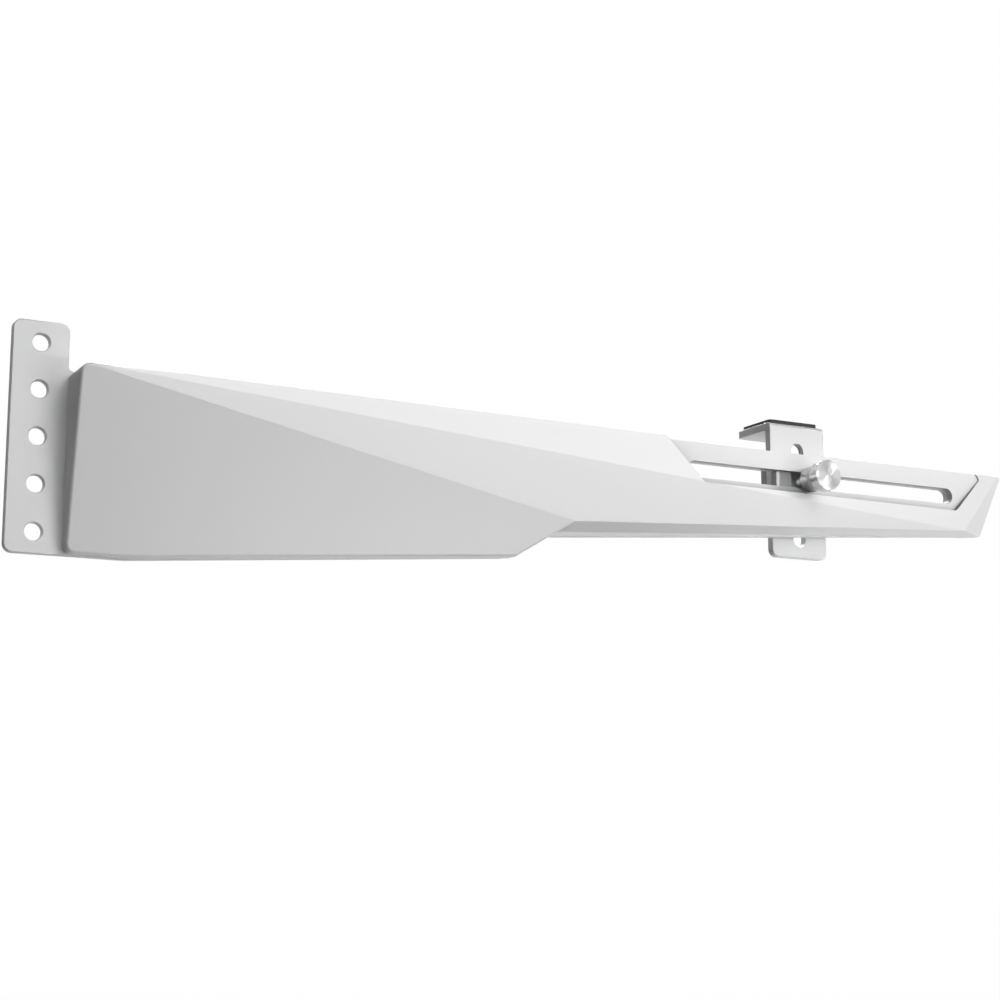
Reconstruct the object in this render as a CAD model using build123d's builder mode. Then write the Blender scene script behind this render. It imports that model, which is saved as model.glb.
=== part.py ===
"""Graphics card support bracket: a plate with a five-hole flange, a faceted cover and a clamped slide."""

import os
from math import cos, radians, sin, tan

from build123d import *

os.makedirs("parts", exist_ok=True)

# Sizes are in millimetres. X runs along the arm, Y away from the viewer and Z up.
# The origin is the middle hole of the flange, on the rear face of the plate.

# Overall length, from the flange holes to the upper corner of the arm's end
arm_end_x = 266.2

# Mounting plate
plate_thickness = 1.6
flange_width = 12.2
flange_height = 50.0
flange_corner = 2.0
neck_fillet = 1.2
hole_pitch = 10.16
hole_end_margin = 4.0
hole_diameter = 3.8
edge_break = 0.2
beam_top = 14.7
plate_foot_x = 20.0
plate_step_inset = 1.35
lip_height = 1.2
plate_end_inset = 1.2

# Front cover: depths are measured forward from the front face of the plate
apex_depth = 10.1
heel_depth = 2.9
heel_inset = 0.3
step_top_x = 127.7
step_top_z = -8.95
step_depth = 6.0
step_foot_x = 112.5
step_foot_z = -18.2
nose_inset = 15.3
nose_z = -1.6
nose_depth = 3.5
tip_inset = 1.6
tip_depth = 2.0
end_foot_inset = 6.9
heel_knee_radius = 30.0
blade_underside_angle = 15.8
cover_corner = 2.0
cover_edge_round = 0.6
blade_edge_round = 0.2
cover_wall = 1.8

# Recess and slot
recess_floor = 2.0
recess_left_x = 154.15
recess_bottom_z = 3.9
recess_end_inset = 17.7
recess_corner = 1.8
recess_rim_z = 13.4
slot_z = 7.9
slot_height = 4.2
slot_left_x = 162.5
slot_end_inset = 18.0

# Cover screws, driven from behind
screw_diameter = 2.5
screw_length = 4.0
screw_head_diameter = 4.6
screw_head_angle = 90.0
screw_play = 0.1
drive_width = 0.5
drive_span = 2.4
drive_depth = 0.7
boss_diameter = 6.0
boss_places = [(17.0, 6.0), (17.0, -17.0), (96.0, -7.5), (144.0, 3.0)]
end_screw_inset = 13.7
end_screw_z = 2.2
rib_thickness = 1.2
rib_places = [42.0, 68.0, 120.0]
rib_setback = 2.5

# Support bracket
bracket_x = 199.35
bracket_width = 17.2
bracket_thickness = 2.0
bracket_top = 23.45
bracket_bottom = -11.9
bracket_reach = 14.5
bracket_corner = 2.0
rest_corner = 1.0
bend_inner = 0.4
bend_outer = 1.2
bracket_slot_width = 4.0
bracket_slot_top = 18.4
bracket_slot_bottom = -9.0
pad_thickness = 1.0
pad_margin = 0.9
pad_corner = 1.0

# Thumb screw, guide block and nut bar
stud_diameter = 3.0
stud_overhang = 1.6
neck_diameter = 6.6
neck_length = 2.9
flare_length = 2.0
head_diameter = 7.8
knob_length = 8.3
knob_standoff = 1.3
head_chamfer = 0.5
neck_chamfer = 0.25
stud_chamfer = 0.4
running_play = 0.05
guide_lead = 1.15
guide_chamfer = 0.55
guide_pocket_width = 8.6
guide_web = 1.2
nut_height = 9.0
nut_thickness = 2.2
nut_corner = 0.8
slide_gap = 0.1

# Derived places
plate_front = -plate_thickness
plate_heel_z = -flange_height / 2
hole_count = 1 + int((flange_height - 2 * hole_end_margin) // hole_pitch)
cover_left = flange_width / 2
heel_z = plate_heel_z + heel_inset
nose_x = arm_end_x - nose_inset
tip_x = arm_end_x - tip_inset
end_foot_x = arm_end_x - end_foot_inset
recess_right_x = arm_end_x - recess_end_inset
recess_rim_x = recess_right_x + recess_rim_z - recess_bottom_z
slot_right_x = arm_end_x - slot_end_inset
screw_places = boss_places + [(arm_end_x - end_screw_inset, end_screw_z)]
floor_y = plate_front - recess_floor
bracket_front = slide_gap
bracket_rear = bracket_front + bracket_thickness
nut_front = bracket_rear + slide_gap
nut_rear = nut_front + nut_thickness
knob_rear = floor_y - knob_standoff
knob_front = knob_rear - knob_length
slot_length = slot_right_x - slot_left_x
slot_centre_x = (slot_right_x + slot_left_x) / 2
guide_height = slot_height - 2 * slide_gap
guide_front = plate_front - guide_lead


def front_point(x, z, depth):
    """A point of the cover's front, given its depth in front of the plate."""
    return Vector(x, plate_front - depth, z)


def outward_plane(first, second, third, outward):
    """The plane through three points whose normal leans to the given outward direction."""
    normal = (second - first).cross(third - first)
    if normal.dot(Vector(*outward)) < 0:
        normal = normal * -1
    return Plane(origin=first, z_dir=normal)


def underside(first, second, angle):
    """The plane that runs back from a lower front edge and drops by an angle."""
    back = Vector(0, cos(radians(angle)), -sin(radians(angle)))
    return outward_plane(first, second, first + back, (0, 0, -1))


# Facets of the cover fan out from one apex at the top left
apex = front_point(cover_left, beam_top, apex_depth)
heel = front_point(cover_left, heel_z, heel_depth)
step_top = front_point(step_top_x, step_top_z, step_depth)
nose = front_point(nose_x, nose_z, nose_depth)
tip = front_point(tip_x, beam_top, tip_depth)
end_foot = front_point(end_foot_x, nose_z, 0)
lower_facet = outward_plane(apex, heel, step_top, (0, -1, 0))
middle_facet = outward_plane(apex, step_top, nose, (0, -1, 0))
upper_facet = outward_plane(apex, nose, tip, (0, -1, 0))
facets = [lower_facet, middle_facet, upper_facet]
end_bevel = outward_plane(tip, nose, end_foot, (1, 0, 0))
blade_underside = underside(step_top, nose, blade_underside_angle)
step_slope = (step_top_x - step_foot_x) / (step_top_z - step_foot_z)
blade_slope = (nose_z - step_top_z) / (nose_x - step_top_x)
end_slope = end_foot_inset / (beam_top - nose_z)
plate_front_plane = Plane.XZ.offset(plate_thickness)
low_z = heel_z - apex_depth
block_depth = 2 * apex_depth


def outer_blade():
    """The long upper blade of the cover, with its lower front edge rounded."""
    with BuildPart() as blade:
        with BuildSketch(plate_front_plane):
            with BuildLine():
                Polyline(
                    (step_foot_x, low_z),
                    (step_foot_x, beam_top),
                    (arm_end_x, beam_top),
                    (end_foot_x + end_slope * (low_z - nose_z), low_z),
                    close=True,
                )
            make_face()
        extrude(amount=block_depth)
        split(bisect_by=blade_underside, keep=Keep.BOTTOM)
        split(bisect_by=end_bevel, keep=Keep.BOTTOM)
        split(bisect_by=middle_facet, keep=Keep.BOTTOM)
        lower_edge = blade.faces().filter_by(middle_facet)[0].edges().sort_by(Axis.Z)[0]
        fillet(lower_edge, radius=blade_edge_round)
        split(bisect_by=lower_facet, keep=Keep.BOTTOM)
        split(bisect_by=upper_facet, keep=Keep.BOTTOM)
    return blade.part


def outer_heel():
    """The deep left half of the cover up to its slanted step, with its front rim rounded."""
    with BuildPart() as heel_block:
        with BuildSketch(plate_front_plane) as outline:
            with BuildLine():
                Polyline(
                    (cover_left, heel_z),
                    (cover_left, beam_top),
                    (step_top_x, beam_top),
                    (step_top_x, step_top_z),
                    (step_foot_x, step_foot_z),
                    (plate_foot_x, heel_z),
                    close=True,
                )
            make_face()
            fillet(outline.vertices().group_by(Axis.X)[0], radius=cover_corner)
            knee = outline.vertices().sort_by_distance((plate_foot_x, heel_z))[0]
            fillet(knee, radius=heel_knee_radius)
        extrude(amount=block_depth)
        split(bisect_by=lower_facet, keep=Keep.BOTTOM)
        fillet(heel_block.faces().filter_by(lower_facet)[0].edges(), radius=cover_edge_round)
        split(bisect_by=middle_facet, keep=Keep.BOTTOM)
        split(bisect_by=upper_facet, keep=Keep.BOTTOM)
    return heel_block.part


def inner_cavity():
    """The hollow behind the cover's deep half, less its screw bosses and ribs."""
    with BuildPart() as cavity:
        with BuildSketch(plate_front_plane):
            with BuildLine():
                Polyline(
                    (cover_left, heel_z),
                    (cover_left, beam_top),
                    (recess_left_x, beam_top),
                    (recess_left_x + beam_top - step_top_z - blade_slope * (recess_left_x - step_top_x),
                     step_top_z + blade_slope * (recess_left_x - step_top_x)),
                    (step_top_x, step_top_z),
                    (step_foot_x, step_foot_z),
                    (plate_foot_x, heel_z),
                    close=True,
                )
            make_face()
            offset(amount=-cover_wall, kind=Kind.INTERSECTION)
        extrude(amount=apex_depth)
        for facet in facets:
            split(bisect_by=facet.offset(-cover_wall), keep=Keep.BOTTOM)
        with BuildSketch(plate_front_plane):
            with Locations(*boss_places):
                Circle(boss_diameter / 2)
        extrude(amount=apex_depth, mode=Mode.SUBTRACT)
        with BuildSketch(plate_front_plane.offset(rib_setback)):
            with Locations(*[(x, 0) for x in rib_places]):
                Rectangle(rib_thickness, flange_height)
        extrude(amount=apex_depth, mode=Mode.SUBTRACT)
    return cavity.part


# Mounting plate: flange and arm in one flat sheet
plate_step_x = step_foot_x - plate_step_inset
blade_back_z = step_top_z - step_depth * tan(radians(blade_underside_angle))
lip_start_z = blade_back_z - lip_height
lip_end_x = end_foot_x - plate_end_inset
nose_back_z = nose_z - nose_depth * tan(radians(blade_underside_angle))
lip_end_z = nose_back_z + blade_slope * (lip_end_x - nose_x)
lip_slope = (lip_end_z - lip_start_z) / (lip_end_x - step_top_x)
lip_start_x = (
    (plate_step_x / step_slope - step_foot_z + lip_start_z - lip_slope * step_top_x)
    / (1 / step_slope - lip_slope)
)
with BuildPart() as mounting_plate:
    with BuildSketch(Plane.XZ) as plate_outline:
        with BuildLine():
            Polyline(
                (-flange_width / 2, plate_heel_z),
                (-flange_width / 2, flange_height / 2),
                (flange_width / 2, flange_height / 2),
                (flange_width / 2, beam_top),
                (arm_end_x - plate_end_inset, beam_top),
                (lip_end_x, lip_end_z),
                (lip_start_x, lip_start_z + lip_slope * (lip_start_x - step_top_x)),
                (plate_step_x, step_foot_z),
                (plate_foot_x, plate_heel_z),
                close=True,
            )
        make_face()
        corners = plate_outline.vertices().group_by(Axis.X)
        fillet(corners[0] + corners[1].sort_by(Axis.Y)[-1:], radius=flange_corner)
        neck = plate_outline.vertices().filter_by_position(Axis.Y, beam_top - 0.01, beam_top + 0.01)
        fillet(neck.sort_by(Axis.X)[0], radius=neck_fillet)
        with GridLocations(1, hole_pitch, 1, hole_count):
            Circle(hole_diameter / 2, mode=Mode.SUBTRACT)
        with Locations((slot_centre_x, slot_z)):
            SlotOverall(slot_length, slot_height, mode=Mode.SUBTRACT)
    extrude(amount=plate_thickness)
    plate_face = mounting_plate.faces().sort_by(Axis.Y)[0]
    round_rims = plate_face.edges().filter_by(GeomType.CIRCLE)
    hole_rims = round_rims.filter_by_position(Axis.X, -hole_diameter, hole_diameter)
    chamfer(plate_face.outer_wire().edges() + hole_rims, length=edge_break)
    with Locations(*[Plane(origin=(x, 0, z), z_dir=(0, 1, 0)) for x, z in screw_places]):
        CounterSinkHole(
            radius=(screw_diameter + screw_play) / 2,
            counter_sink_radius=(screw_head_diameter + screw_play) / 2,
            depth=plate_thickness,
            counter_sink_angle=screw_head_angle,
        )
mounting_plate.part.label = "mounting_plate"
export_step(mounting_plate.part, "parts/mounting_plate.step")

# Front cover: two blocks cut by the three facets, hollow behind, with the recess and its slot
pilot_depth = screw_length - plate_thickness + screw_play
with BuildPart() as front_cover:
    add(outer_heel())
    add(outer_blade())
    add(inner_cavity(), mode=Mode.SUBTRACT)
    with BuildSketch(plate_front_plane.offset(recess_floor)) as recess:
        with BuildLine():
            Polyline(
                (recess_left_x - recess_corner, beam_top + recess_corner),
                (recess_left_x + beam_top - recess_bottom_z, recess_bottom_z),
                (recess_right_x, recess_bottom_z),
                (recess_rim_x, recess_rim_z),
                (recess_rim_x + recess_rim_z - beam_top - recess_corner, beam_top + recess_corner),
                close=True,
            )
        make_face()
        fillet(recess.vertices().group_by(Axis.Y)[0], radius=recess_corner)
        fillet(recess.vertices().sort_by(Axis.X)[-1], radius=recess_corner / 2)
    extrude(amount=apex_depth, mode=Mode.SUBTRACT)
    with BuildSketch(plate_front_plane):
        with Locations((slot_centre_x, slot_z)):
            SlotOverall(slot_length, slot_height)
    extrude(amount=recess_floor, mode=Mode.SUBTRACT)
    with BuildSketch(plate_front_plane):
        with Locations(*screw_places):
            Circle((screw_diameter + screw_play) / 2)
    extrude(amount=pilot_depth, mode=Mode.SUBTRACT)
front_cover.part.label = "front_cover"
export_step(front_cover.part, "parts/front_cover.step")

# Countersunk screws that hold the cover, one group of equal solids
head_drop = (screw_head_diameter - screw_diameter) / 2 / tan(radians(screw_head_angle / 2))
with BuildPart() as cover_screws:
    for place_x, place_z in screw_places:
        with BuildSketch(Plane.YZ.offset(place_x)):
            with BuildLine():
                Polyline(
                    (0, place_z),
                    (0, place_z + screw_head_diameter / 2),
                    (-head_drop, place_z + screw_diameter / 2),
                    (-screw_length, place_z + screw_diameter / 2),
                    (-screw_length, place_z),
                    close=True,
                )
            make_face()
        revolve(axis=Axis((place_x, 0, place_z), (0, 1, 0)))
    with BuildSketch(Plane.XZ):
        with Locations(*screw_places):
            Rectangle(drive_span, drive_width)
            Rectangle(drive_width, drive_span)
    extrude(amount=drive_depth, mode=Mode.SUBTRACT)
cover_screws.part.label = "cover_screws"
export_step(cover_screws.part, "parts/cover_screws.step")

# Support bracket: a folded L with one long vertical slot
with BuildPart() as support_bracket:
    with BuildSketch(Plane.YZ.offset(bracket_x)) as fold:
        with BuildLine():
            Polyline(
                (bracket_front, bracket_bottom),
                (bracket_front, bracket_top),
                (bracket_reach, bracket_top),
                (bracket_reach, bracket_top - bracket_thickness),
                (bracket_rear, bracket_top - bracket_thickness),
                (bracket_rear, bracket_bottom),
                close=True,
            )
        make_face()
        fillet(fold.vertices().group_by(Axis.X)[1].sort_by(Axis.Y)[-1], radius=bend_inner)
        fillet(fold.vertices().group_by(Axis.X)[0].sort_by(Axis.Y)[-1], radius=bend_outer)
    extrude(amount=bracket_width / 2, both=True)
    lower_corners = support_bracket.edges().filter_by(Axis.Y).group_by(Axis.Z)[0]
    fillet(lower_corners, radius=bracket_corner)
    back_corners = support_bracket.edges().filter_by(Axis.Z).group_by(Axis.Y)[-1]
    fillet(back_corners, radius=rest_corner)
    bracket_face = support_bracket.faces().filter_by(Plane.XZ).sort_by(Axis.Y)[0]
    fillet(bracket_face.edges().sort_by(Axis.Z)[:-1], radius=edge_break)
    with BuildSketch(Plane.XZ.offset(-bracket_rear)):
        with Locations((bracket_x, (bracket_slot_top + bracket_slot_bottom) / 2)):
            SlotOverall(bracket_slot_top - bracket_slot_bottom, bracket_slot_width, rotation=90)
    extrude(amount=bracket_thickness, mode=Mode.SUBTRACT)
support_bracket.part.label = "support_bracket"
export_step(support_bracket.part, "parts/support_bracket.step")

# Rubber pad on the bracket's flange
pad_front = bracket_front + bend_outer
pad_depth = bracket_reach - pad_margin - pad_front
with BuildPart() as support_pad:
    with BuildSketch(Plane.XY.offset(bracket_top)):
        with Locations((bracket_x, pad_front + pad_depth / 2)):
            RectangleRounded(bracket_width - 2 * pad_margin, pad_depth, pad_corner)
    extrude(amount=pad_thickness)
support_pad.part.label = "support_pad"
export_step(support_pad.part, "parts/support_pad.step")

# Thumb screw: a turned knob, backed off from the recess floor, with its stud through the slot
stud_end = nut_rear + stud_overhang
stud_radius = stud_diameter / 2
head_radius = head_diameter / 2
neck_radius = neck_diameter / 2
head_rear = knob_rear - neck_length - flare_length
screw_axis = Axis((bracket_x, 0, slot_z), (0, 1, 0))
with BuildPart() as thumb_screw:
    with BuildSketch(Plane.YZ.offset(bracket_x)):
        with BuildLine():
            Polyline(
                (knob_front, slot_z),
                (knob_front, slot_z + head_radius - head_chamfer),
                (knob_front + head_chamfer, slot_z + head_radius),
                (head_rear, slot_z + head_radius),
                (head_rear + flare_length, slot_z + neck_radius),
                (knob_rear - neck_chamfer, slot_z + neck_radius),
                (knob_rear, slot_z + neck_radius - neck_chamfer),
                (knob_rear, slot_z + stud_radius),
                (stud_end - stud_chamfer, slot_z + stud_radius),
                (stud_end, slot_z + stud_radius - stud_chamfer),
                (stud_end, slot_z),
                close=True,
            )
        make_face()
    revolve(axis=screw_axis)
thumb_screw.part.label = "thumb_screw"
export_step(thumb_screw.part, "parts/thumb_screw.step")

# Guide block that rides in the slot and keeps the stud square to it, with a pocket about the stud
with BuildPart() as guide_block:
    with BuildSketch(Plane.XZ):
        with Locations((bracket_x, slot_z)):
            Rectangle(bracket_width, guide_height)
    extrude(amount=-guide_front)
    front_edges = guide_block.faces().sort_by(Axis.Y)[0].edges().filter_by(Axis.Z)
    chamfer(front_edges, length=guide_chamfer)
    with BuildSketch(Plane.XZ.offset(guide_web)):
        with Locations((bracket_x, slot_z)):
            Rectangle(guide_pocket_width, guide_height)
    extrude(amount=-guide_front - guide_web, mode=Mode.SUBTRACT)
    with BuildSketch(Plane.XZ):
        with Locations((bracket_x, slot_z)):
            Circle(stud_radius + running_play)
    extrude(amount=guide_web, mode=Mode.SUBTRACT)
guide_block.part.label = "guide_block"
export_step(guide_block.part, "parts/guide_block.step")

# Nut bar behind the bracket
with BuildPart() as clamp_nut:
    with BuildSketch(Plane.XZ.offset(-nut_rear)):
        with Locations((bracket_x, slot_z)):
            RectangleRounded(bracket_width, nut_height, nut_corner)
            Circle(stud_radius + running_play, mode=Mode.SUBTRACT)
    extrude(amount=nut_thickness)
clamp_nut.part.label = "clamp_nut"
export_step(clamp_nut.part, "parts/clamp_nut.step")
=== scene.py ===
"""Studio scene of a graphics card support bracket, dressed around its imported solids."""

from math import radians, tau
from typing import NamedTuple

import bpy
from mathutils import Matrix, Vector


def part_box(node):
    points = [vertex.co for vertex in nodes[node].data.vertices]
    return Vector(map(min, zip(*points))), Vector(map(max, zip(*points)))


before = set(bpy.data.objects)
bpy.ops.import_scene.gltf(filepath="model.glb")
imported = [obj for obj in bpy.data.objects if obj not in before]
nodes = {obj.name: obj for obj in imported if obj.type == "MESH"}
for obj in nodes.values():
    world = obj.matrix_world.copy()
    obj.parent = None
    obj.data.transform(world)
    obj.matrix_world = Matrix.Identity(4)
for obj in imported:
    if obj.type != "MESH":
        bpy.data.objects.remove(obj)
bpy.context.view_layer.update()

# Camera, fitted to the straight edges of the object: metres, degrees, and millimetres of lens
camera_place = (-0.09886, -0.39209, -0.08375)
camera_yaw = 28.18
camera_pitch = 10.16
camera_lens = 68.4
camera_sensor = 36.0
camera_near = 0.01

# Stage: metres, grains per metre, and the share of plain white that the floor shows near the object
floor_height = -0.13
floor_half = 6.0
floor_dark = (0.92, 0.92, 0.92)
floor_light = (0.93, 0.93, 0.93)
floor_grain = 60
floor_roughness = 0.9
floor_fade_start = 0.35
floor_fade_end = 1.1
floor_white = 0.85
ambient_strength = 0.02
flag_colour = (0.02, 0.02, 0.02, 1)
flag_roughness = 1.0
plain_white = (1, 1, 1, 1)


class Lamp(NamedTuple):
    """A rectangular soft lamp: metres, with its size across and up, and watts.

    One with receivers is a card, which shows only in the gloss of those nodes, as a reflector does.
    One with spared nodes leaves those unlit."""

    name: str
    place: tuple
    aim: tuple
    size: tuple
    power: float
    receivers: tuple = ()
    spared: tuple = ()


class Flag(NamedTuple):
    """A square black card that shows only in gloss, as a dark part of the studio does: metres."""

    place: tuple
    aim: tuple
    side: float


class Finish(NamedTuple):
    """A grained surface and the nodes that have it: grains per metre, and metres of bump depth.

    Its colour follows the grain, or a coarser mottle where one is given; some finishes also have shade
    painted into their inner corners."""

    name: str
    wearers: tuple
    dark: tuple
    light: tuple
    grain: float
    detail: float
    roughness: tuple
    strength: float
    depth: float
    mottle: float = 0.0
    metallic: float = 0.0
    # True paints shade into the colour in the finish's inner corners
    corner_shade_painted: bool = False


arm = (0.13, 0.0, 0.0)
knob = (0.199, -0.01, 0.008)
knob_face = (0.199, -0.013, 0.008)
white_nodes = ("mounting_plate", "support_bracket", "front_cover")
knob_node = ("thumb_screw",)
guide_node = ("guide_block",)

lamps = [
    Lamp("key", (0.33, -1.14, 0.47), arm, (1.1, 0.9), 3.0, spared=knob_node),
    Lamp("high_key", (0.2, -0.9, 0.95), arm, (1.1, 0.9), 6.0, spared=knob_node),
    Lamp("low_fill", (0.3, -0.43, -0.117), (0.07, 0.0, -0.01), (0.25, 0.026), 0.55),
    Lamp("under_left", (0.06, -0.01, -0.12), (0.06, 0.0, 0.0), (0.12, 0.06), 0.036),
    Lamp("under_right", (0.26, 0.0, -0.12), (0.26, 0.0, 0.0), (0.1, 0.06), 0.088),
    Lamp("back", (0.45, 0.9, 0.7), arm, (0.6, 0.6), 15.0),
    Lamp("left_card", (0.384, -1.247, 0.395), (0.05, 0.0, 0.0), (0.5, 0.5), 8.0, white_nodes),
    Lamp("right_card", (0.983, -1.028, 0.349), (0.18, 0.0, 0.0), (0.6, 0.55), 12.0, white_nodes),
    Lamp("high_card", (0.75, -1.1, 0.75), arm, (0.9, 0.35), 9.0, white_nodes),
    Lamp("end_card", (1.0, -0.12, 0.0), (0.26, 0.0, 0.0), (0.3, 0.2), 0.7, white_nodes),
    Lamp("knob_card", (0.92, -0.49, 0.51), knob, (0.36, 0.36), 0.42, knob_node),
    Lamp("rim_card", (-0.55, -0.55, 0.16), knob, (0.5, 0.5), 2.0, knob_node),
    Lamp("guide_card", (-0.5, -0.55, 0.18), (0.19, 0.0, 0.008), (0.5, 0.5), 24.0, guide_node),
]

flags = [
    Flag((0.541, -0.661, 0.53), knob_face, 0.4),
    Flag((0.74, 0.157, 0.7), knob_face, 0.45),
    Flag((1.05, 0.25, -0.02), knob_face, 0.2),
]

finishes = [
    Finish(
        "white_powder_coat", ("mounting_plate", "support_bracket"),
        dark=(0.77, 0.77, 0.78), light=(0.81, 0.81, 0.815), mottle=30,
        grain=1500, detail=3.0, roughness=(0.36, 0.5), strength=0.15, depth=0.00005,
    ),
    Finish(
        "white_cover", ("front_cover",),
        # The cover's colour has shade painted into its inner corners and recess
        dark=(0.79, 0.79, 0.795), light=(0.82, 0.82, 0.825), mottle=18, corner_shade_painted=True,
        grain=3200, detail=2.0, roughness=(0.3, 0.42), strength=0.08, depth=0.00004,
    ),
    Finish(
        "plated_steel", ("cover_screws",), metallic=1.0,
        dark=(0.5, 0.51, 0.53), light=(0.66, 0.66, 0.66),
        grain=700, detail=4.0, roughness=(0.25, 0.42), strength=0.1, depth=0.00004,
    ),
    Finish(
        "black_steel", ("clamp_nut",), metallic=1.0,
        dark=(0.1, 0.1, 0.102), light=(0.16, 0.16, 0.162),
        grain=900, detail=4.0, roughness=(0.38, 0.55), strength=0.1, depth=0.00004,
    ),
    Finish(
        "guide_plastic", ("guide_block",),
        dark=(0.33, 0.33, 0.335), light=(0.39, 0.39, 0.395),
        grain=2400, detail=3.0, roughness=(0.38, 0.55), strength=0.15, depth=0.00005,
    ),
    Finish(
        "pad_rubber", ("support_pad",),
        dark=(0.035, 0.035, 0.037), light=(0.07, 0.07, 0.072),
        grain=2600, detail=4.0, roughness=(0.7, 0.9), strength=0.4, depth=0.0001,
    ),
]

# Painted shade in inner corners: how far it reaches, in metres, and the power that deepens it
painted_shade_reach = 0.015
painted_shade_power = 1.8

# Thumb screw: the thread's pitch and depth, the radius that only the stud keeps within and the depth
# of the tool marks in metres, the marks per metre, and how they stretch and turn the gloss
thread_pitch = 0.0005
thread_depth = 0.0003
stud_reach = 0.0016
mark_depth = 0.000004
mark_grain = 9000
mark_detail = 3.0
mark_dark = (0.63, 0.635, 0.64)
mark_light = (0.75, 0.75, 0.75)
mark_roughness = 0.12
face_roughness = 0.42
side_roughness = 0.24
gloss_stretch = 0.95
gloss_turn = 0.25


class Shader:
    """A Principled material under construction, with short ways to add and join its nodes."""

    def __init__(self, name, **constants):
        self.material = bpy.data.materials.new(name)
        self.material.use_nodes = True
        self.tree = self.material.node_tree
        self.surface = self.tree.nodes["Principled BSDF"]
        for key, value in constants.items():
            self.surface.inputs[key.replace("_", " ").title()].default_value = value

    def node(self, kind, inputs=None, **settings):
        """A new node with its settings; inputs holds constants or the sockets to join."""
        made = self.tree.nodes.new(kind)
        for key, value in settings.items():
            setattr(made, key, value)
        for key, value in (inputs or {}).items():
            if isinstance(value, bpy.types.NodeSocket):
                self.tree.links.new(value, made.inputs[key])
            else:
                made.inputs[key].default_value = value
        return made

    def join(self, socket, name):
        """Joins a socket to one of the surface's inputs."""
        self.tree.links.new(socket, self.surface.inputs[name])

    def place(self):
        """The point of the object in metres."""
        return self.node("ShaderNodeTexCoord").outputs["Object"]

    def normal(self):
        """The direction that the surface faces, along the object's own axes."""
        return self.node("ShaderNodeTexCoord").outputs["Normal"]

    def noise(self, scale, detail=2.0, vector=None):
        """A noise whose grains are about one metre divided by the scale."""
        point = vector if vector else self.place()
        inputs = {"Vector": point, "Scale": scale, "Detail": detail}
        return self.node("ShaderNodeTexNoise", inputs).outputs[0]

    def spread(self, value, low, high):
        """A value from 0 to 1 spread between two limits."""
        inputs = {"Value": value, "To Min": low, "To Max": high}
        return self.node("ShaderNodeMapRange", inputs).outputs[0]

    def tint(self, value, dark, light):
        """A colour between two others."""
        ramp = self.node("ShaderNodeValToRGB", {"Fac": value})
        ramp.color_ramp.elements[0].color = (*dark, 1)
        ramp.color_ramp.elements[1].color = (*light, 1)
        return ramp.outputs[0]

    def math(self, operation, first, second=0.0):
        """A sum, product or other function of one or two values."""
        return self.node("ShaderNodeMath", {0: first, 1: second}, operation=operation).outputs[0]

    def vector(self, operation, first, second=(0, 0, 0)):
        """A function of one or two vectors, or the length of the first."""
        made = self.node("ShaderNodeVectorMath", {0: first, 1: second}, operation=operation)
        return made.outputs["Value" if operation == "LENGTH" else "Vector"]

    def axes(self, vector):
        """The three parts of a vector, by axis name."""
        return self.node("ShaderNodeSeparateXYZ", {"Vector": vector}).outputs

    def paint_corner_shade(self, colour):
        """A colour with shade painted into the object's own hollows and inner corners, by ambient
        occlusion.
        """
        made = self.node("ShaderNodeAmbientOcclusion", {"Distance": painted_shade_reach}, only_local=True)
        return self.vector("MULTIPLY", colour, self.math("POWER", made.outputs["AO"], painted_shade_power))

    def bump(self, height, strength, depth):
        """Joins a bump of the given depth in metres."""
        inputs = {"Height": height, "Strength": strength, "Distance": depth}
        self.join(self.node("ShaderNodeBump", inputs).outputs[0], "Normal")


def grained(finish):
    """The material of a grained finish."""
    shader = Shader(finish.name, metallic=finish.metallic)
    grain = shader.noise(finish.grain, finish.detail)
    mottle = shader.noise(finish.mottle) if finish.mottle else grain
    colour = shader.tint(mottle, finish.dark, finish.light)
    # Where a finish asks for it, shade is painted into the base colour in inner corners
    shader.join(shader.paint_corner_shade(colour) if finish.corner_shade_painted else colour, "Base Color")
    shader.join(shader.spread(grain, *finish.roughness), "Roughness")
    shader.bump(grain, finish.strength, finish.depth)
    return shader.material


def turned_metal():
    """Turned metal with circular tool marks about the thumb screw's axis, and a thread on its stud."""
    shader = Shader(
        "turned_aluminium", metallic=1.0, anisotropic=gloss_stretch, anisotropic_rotation=gloss_turn
    )
    low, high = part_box("thumb_screw")
    centre = (low + high) / 2
    offset = shader.vector("SUBTRACT", shader.place(), centre)
    radius = shader.vector("LENGTH", shader.vector("MULTIPLY", offset, (1, 0, 1)))
    parts = shader.axes(offset)
    turned = shader.node("ShaderNodeCombineXYZ", {"X": radius, "Y": parts["Y"]}).outputs[0]
    marks = shader.noise(mark_grain, mark_detail, turned)
    shader.join(shader.tint(marks, mark_dark, mark_light), "Base Color")

    # The knob's end faces and the stud are coarser than the turned sides
    facing = shader.math("ABSOLUTE", shader.axes(shader.normal())["Y"])
    on_stud = shader.math("LESS_THAN", radius, stud_reach)
    coarse = shader.math("MAXIMUM", facing, on_stud)
    grain = shader.math("MULTIPLY", shader.math("SUBTRACT", marks, 0.5), mark_roughness)
    roughness = shader.math("ADD", shader.spread(coarse, side_roughness, face_roughness), grain)
    shader.join(roughness, "Roughness")
    tangent = shader.node("ShaderNodeTangent", direction_type="RADIAL", axis="Y")
    shader.join(tangent.outputs[0], "Tangent")

    angle = shader.math("ARCTAN2", parts["Z"], parts["X"])
    travel = shader.math("MULTIPLY", parts["Y"], tau / thread_pitch)
    wave = shader.math("SINE", shader.math("ADD", travel, angle))
    thread = shader.math("MULTIPLY", shader.math("MULTIPLY", wave, on_stud), thread_depth / 2)
    height = shader.math("ADD", thread, shader.math("MULTIPLY", marks, mark_depth))
    shader.bump(height, 1.0, 1.0)
    return shader.material


def dress(material, names):
    """Gives CAD nodes a material."""
    for name in names:
        for slot in nodes[name].material_slots:
            slot.material = material


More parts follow.
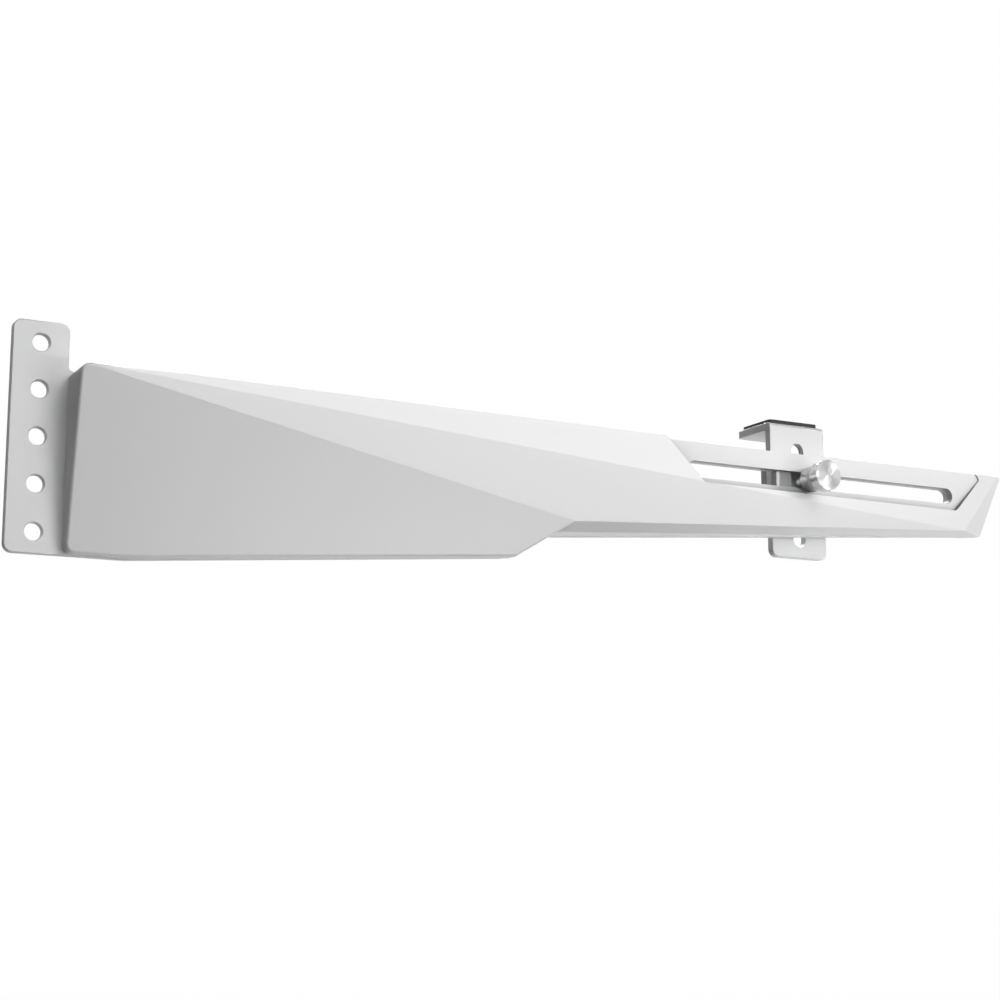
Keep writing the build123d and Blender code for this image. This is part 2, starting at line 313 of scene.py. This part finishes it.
def seen_ray(tree):
    """1 for rays that show the background: camera, glossy and transmission rays."""
    path = tree.nodes.new("ShaderNodeLightPath")
    total = path.outputs["Is Camera Ray"]
    for name in ("Is Glossy Ray", "Is Transmission Ray"):
        either = tree.nodes.new("ShaderNodeMath")
        either.operation = "MAXIMUM"
        tree.links.new(total, either.inputs[0])
        tree.links.new(path.outputs[name], either.inputs[1])
        total = either.outputs[0]
    return total


def white_world():
    """A weak white surround that shows as plain white."""
    world = bpy.data.worlds.new("studio")
    world.use_nodes = True
    bpy.context.scene.world = world
    tree = world.node_tree
    ambient = tree.nodes["Background"]
    ambient.inputs["Color"].default_value = plain_white
    ambient.inputs["Strength"].default_value = ambient_strength
    shown = tree.nodes.new("ShaderNodeBackground")
    shown.inputs["Color"].default_value = plain_white
    shown.inputs["Strength"].default_value = 1.0
    mix = tree.nodes.new("ShaderNodeMixShader")
    tree.links.new(seen_ray(tree), mix.inputs["Fac"])
    tree.links.new(ambient.outputs[0], mix.inputs[1])
    tree.links.new(shown.outputs[0], mix.inputs[2])
    tree.links.new(mix.outputs[0], tree.nodes["World Output"].inputs["Surface"])


def floor_material():
    """Pale paper near the object that fades to the white of the surround."""
    shader = Shader("pale_floor", roughness=floor_roughness)
    shader.join(shader.tint(shader.noise(floor_grain), floor_dark, floor_light), "Base Color")
    limits = {
        "Value": shader.vector("LENGTH", shader.place()),
        "From Min": floor_fade_start,
        "From Max": floor_fade_end,
        "To Min": floor_white,
    }
    fade = shader.node("ShaderNodeMapRange", limits).outputs[0]
    shown = shader.math("MULTIPLY", fade, seen_ray(shader.tree))
    white = shader.node("ShaderNodeEmission", {"Color": plain_white, "Strength": 1.0}).outputs[0]
    mix = shader.node("ShaderNodeMixShader", {0: shown, 1: shader.surface.outputs[0], 2: white})
    shader.tree.links.new(mix.outputs[0], shader.tree.nodes["Material Output"].inputs["Surface"])
    return shader.material


def add_square(name, half, height, material):
    """A level square of the given half width."""
    corners = [(-half, -half), (half, -half), (half, half), (-half, half)]
    mesh = bpy.data.meshes.new(name)
    mesh.from_pydata([(x, y, height) for x, y in corners], [], [(0, 1, 2, 3)])
    mesh.materials.append(material)
    made = bpy.data.objects.new(name, mesh)
    bpy.context.scene.collection.objects.link(made)
    return made


def turn_to(made, place, aim):
    """Puts an object in place with its underside facing the aim."""
    made.location = place
    made.rotation_euler = (Vector(aim) - Vector(place)).to_track_quat("-Z", "Y").to_euler()


def add_floor():
    """A wide pale floor below the object."""
    floor = add_square("floor", floor_half, floor_height, floor_material())
    floor.visible_diffuse = False


def add_flag(flag, material):
    """Puts a black card in place that neither the camera nor any lamp meets."""
    made = add_square("flag", flag.side / 2, 0, material)
    turn_to(made, flag.place, flag.aim)
    made.visible_camera = False
    made.visible_diffuse = False
    made.visible_shadow = False
    made.visible_transmission = False


def light_group(names, state):
    """The collection that makes lamps include only the named nodes, or exclude them."""
    key = " ".join((state, *names))
    if key not in bpy.data.collections:
        group = bpy.data.collections.new(key)
        for name in names:
            group.objects.link(nodes[name])
        for member in group.collection_objects:
            member.light_linking.link_state = state
    return bpy.data.collections[key]


def add_lamp(lamp):
    """Puts a lamp in place, facing its aim and unseen by the camera."""
    data = bpy.data.lights.new(lamp.name, "AREA")
    data.shape = "RECTANGLE"
    data.size, data.size_y = lamp.size
    data.energy = lamp.power
    # Without this, ordinary lamps come out too bright beside lamps that are bound to some nodes
    data.cycles.use_multiple_importance_sampling = bool(lamp.receivers)
    made = bpy.data.objects.new(lamp.name, data)
    turn_to(made, lamp.place, lamp.aim)
    made.visible_camera = False
    if lamp.receivers:
        made.visible_diffuse = False
        made.light_linking.receiver_collection = light_group(lamp.receivers, "INCLUDE")
    if lamp.spared:
        made.light_linking.receiver_collection = light_group(lamp.spared, "EXCLUDE")
    bpy.context.scene.collection.objects.link(made)


def add_camera():
    """The photograph's view."""
    data = bpy.data.cameras.new("camera")
    data.lens = camera_lens
    data.sensor_width = camera_sensor
    data.clip_start = camera_near
    camera = bpy.data.objects.new("camera", data)
    camera.location = camera_place
    camera.rotation_euler = (radians(90 + camera_pitch), 0, radians(-camera_yaw))
    bpy.context.scene.collection.objects.link(camera)
    bpy.context.scene.camera = camera


for finish in finishes:
    dress(grained(finish), finish.wearers)
dress(turned_metal(), knob_node)

white_world()
add_floor()
for lamp in lamps:
    add_lamp(lamp)
flag_black = Shader("flag_black", roughness=flag_roughness, base_color=flag_colour).material
for flag in flags:
    add_flag(flag, flag_black)
add_camera()
bpy.context.scene.view_settings.view_transform = "Standard"
